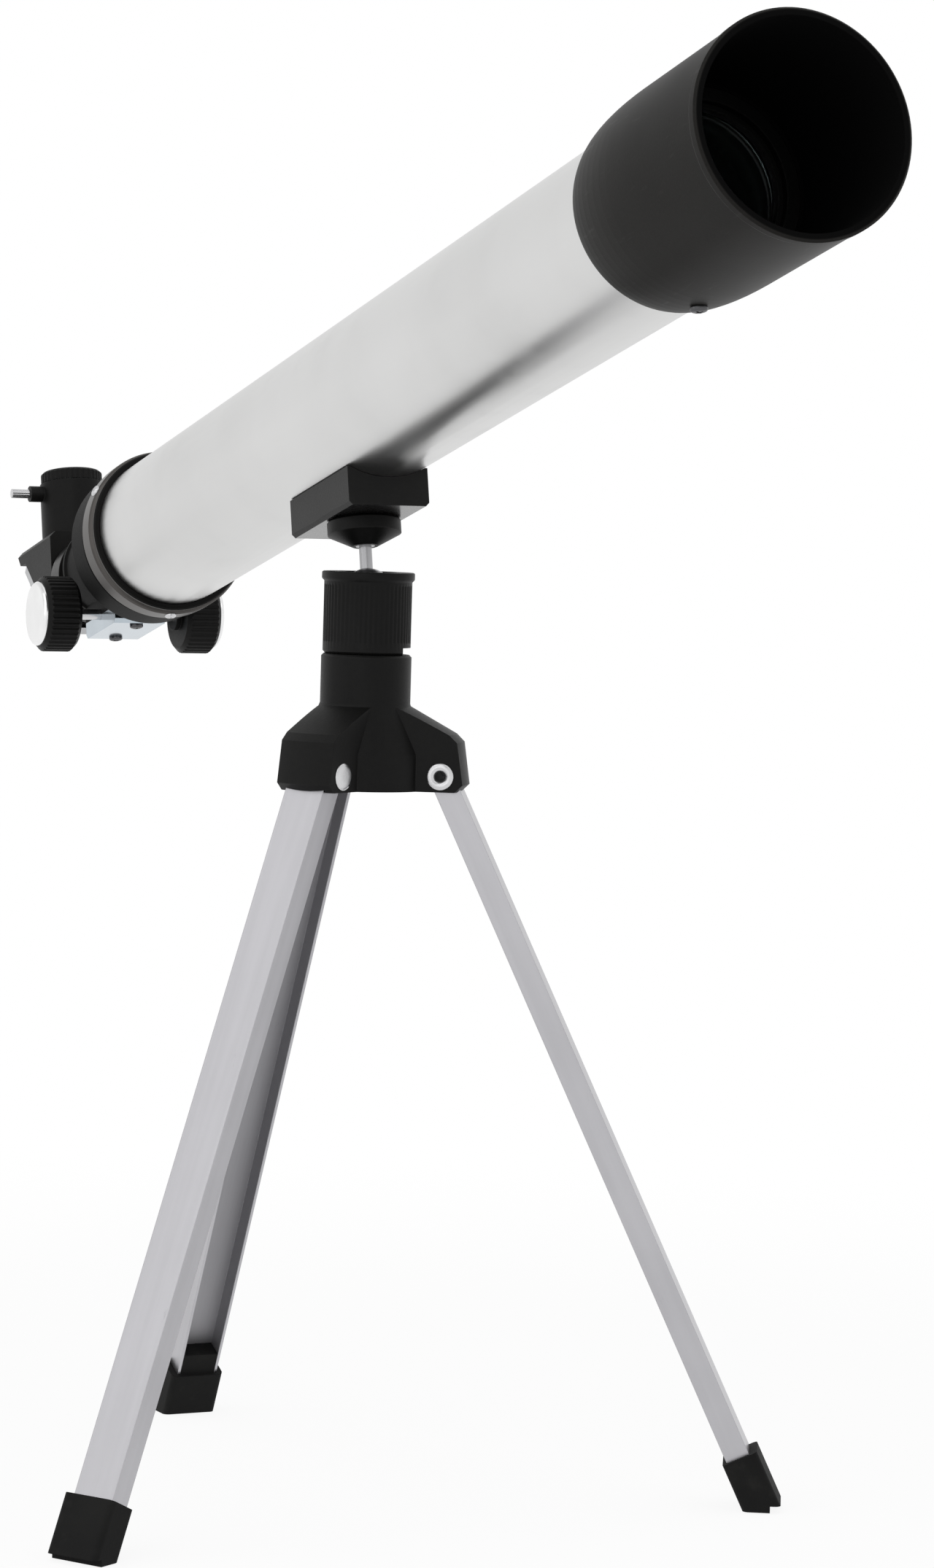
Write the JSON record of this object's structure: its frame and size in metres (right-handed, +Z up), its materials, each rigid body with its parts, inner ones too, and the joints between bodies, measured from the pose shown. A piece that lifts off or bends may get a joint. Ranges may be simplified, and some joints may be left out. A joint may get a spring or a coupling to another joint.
{
  "type": "tabletop refracting telescope",
  "caption": "Small refracting telescope: silver tube with dew shield, rack-and-pinion focuser, star diagonal and eyepiece, on a locking ball head and folding tabletop tripod.",
  "frame": {"origin": "on the surface it stands on, under the tripod axis", "axes": "+Z up, +X the way the tube points at rest, +Y to the left of the tube"},
  "size_m": [0.6631, 0.2592, 0.465],
  "materials": {
    "black_plastic": "satin moulded black",
    "rubber": "matt black rubber",
    "white_plastic": "plain white",
    "shield_plastic": "satin charcoal",
    "tube_silver": "satin silver",
    "leg_aluminium": "bright drawn aluminium",
    "bright_steel": "bright steel",
    "dark_steel": "blackened steel",
    "chrome": "bright plated",
    "cap_aluminium": "turned, bright",
    "brass": "turned brass",
    "drawtube_metal": "black anodised",
    "lens_glass": "polished, coated",
    "mirror": "front silvered"
  },
  "bodies": {
    "hub": {"tripod_hub": "black_plastic", "leg_rivets": "bright_steel", "seat_pad": "rubber"},
    "collar": {"lock_collar": "black_plastic"},
    "cup": {"ball_seat": "white_plastic"},
    "ball": {"ball_stem": "bright_steel"},
    "wheel": {"lock_wheel": "black_plastic"},
    "tube": {"saddle_block": "black_plastic", "thread_insert": "brass", "saddle_screws": "bright_steel", "main_tube": "tube_silver", "front_baffle": "black_plastic", "rear_baffle": "black_plastic", "lens_cell": "black_plastic", "flint_lens": "lens_glass", "lens_spacer": "cap_aluminium", "crown_lens": "lens_glass", "lens_retainer": "black_plastic", "dew_shield": "shield_plastic", "shield_screw": "dark_steel", "tail_flange": "black_plastic", "flange_screws": "bright_steel", "focuser_housing": "black_plastic", "pinion_cover": "chrome", "pinion_cover_screws": "dark_steel"},
    "drawtube": {"drawtube": "drawtube_metal", "focus_rack": "brass"},
    "pinion": {"focus_pinion": "bright_steel", "left_knob": "black_plastic", "right_knob": "black_plastic", "left_knob_cap": "cap_aluminium", "right_knob_cap": "cap_aluminium"},
    "diagonal": {"diagonal_body": "black_plastic", "diagonal_mirror": "mirror", "diagonal_cover": "cap_aluminium", "diagonal_cover_screws": "bright_steel"},
    "eyepiece": {"eyepiece_barrel": "chrome", "eyepiece_body": "black_plastic", "field_lens": "lens_glass", "eye_lens": "lens_glass"},
    "eyepiece_screw": {"eyepiece_screw": "bright_steel"},
    "diagonal_screw": {"diagonal_screw": "bright_steel"},
    "left_leg": {"left_leg": "leg_aluminium", "left_foot": "rubber"},
    "right_leg": {"right_leg": "leg_aluminium", "right_foot": "rubber"},
    "rear_leg": {"rear_leg": "leg_aluminium", "rear_foot": "rubber"}
  },
  "joints": [
    {"name": "left_leg_fold", "type": "hinge", "parent": "hub", "child": "left_leg", "pos_m": [0.01165, 0.02347, 0.23915], "axis": [-0.8957, 0.4446, 0], "range_deg": [0, 25]},
    {"name": "right_leg_fold", "type": "hinge", "parent": "hub", "child": "right_leg", "pos_m": [0.0145, -0.02182, 0.23915], "axis": [0.8329, 0.5534, 0], "range_deg": [0, 25]},
    {"name": "rear_leg_fold", "type": "hinge", "parent": "hub", "child": "rear_leg", "pos_m": [-0.02615, -0.00164, 0.23915], "axis": [0.0628, -0.998, 0], "range_deg": [0, 25]},
    {"name": "collar_turn", "type": "hinge", "parent": "hub", "child": "collar", "pos_m": [0, 0, 0.29745], "axis": [0, 0, 1], "range_deg": [0, 120]},
    {"name": "ball_pan", "type": "hinge", "parent": "hub", "child": "cup", "pos_m": [0, 0, 0.29745], "axis": [0, 0, 1], "continuous": true},
    {"name": "ball_tilt", "type": "hinge", "parent": "cup", "child": "ball", "pos_m": [0, 0, 0.29745], "axis": [0, -1, 0], "range_deg": [-50, 24]},
    {"name": "saddle_turn", "type": "hinge", "parent": "ball", "child": "tube", "pos_m": [0, 0, 0.29745], "axis": [-0.226, 0, 0.9741], "continuous": true},
    {"name": "wheel_turn", "type": "hinge", "parent": "ball", "child": "wheel", "pos_m": [0, 0, 0.29745], "axis": [-0.226, 0, 0.9741], "continuous": true},
    {"name": "focus_slide", "type": "slide", "parent": "tube", "child": "drawtube", "axis": [-0.9741, 0, -0.226], "range_m": [-0.009, 0.04]},
    {"name": "pinion_turn", "type": "hinge", "parent": "tube", "child": "pinion", "pos_m": [-0.25256, 0, 0.28164], "axis": [0, -1, 0], "range_deg": [-125, 550]},
    {"name": "diagonal_turn", "type": "hinge", "parent": "drawtube", "child": "diagonal", "pos_m": [-0.31322, 0, 0.28869], "axis": [0.9741, 0, 0.226], "continuous": true},
    {"name": "eyepiece_slide", "type": "slide", "parent": "diagonal", "child": "eyepiece", "axis": [-0.226, 0, 0.9741], "range_m": [0, 0.018]},
    {"name": "eyepiece_screw_turn", "type": "hinge", "parent": "diagonal", "child": "eyepiece_screw", "pos_m": [-0.32188, 0, 0.326], "axis": [0, -1, 0], "range_deg": [0, 360]},
    {"name": "diagonal_screw_turn", "type": "hinge", "parent": "drawtube", "child": "diagonal_screw", "pos_m": [-0.28955, 0, 0.29418], "axis": [0, 1, 0], "range_deg": [0, 360]}
  ],
  "couplings": [
    {"joint": "pinion_turn", "follows": "focus_slide", "rad_per_m": 238.1}
  ]
}
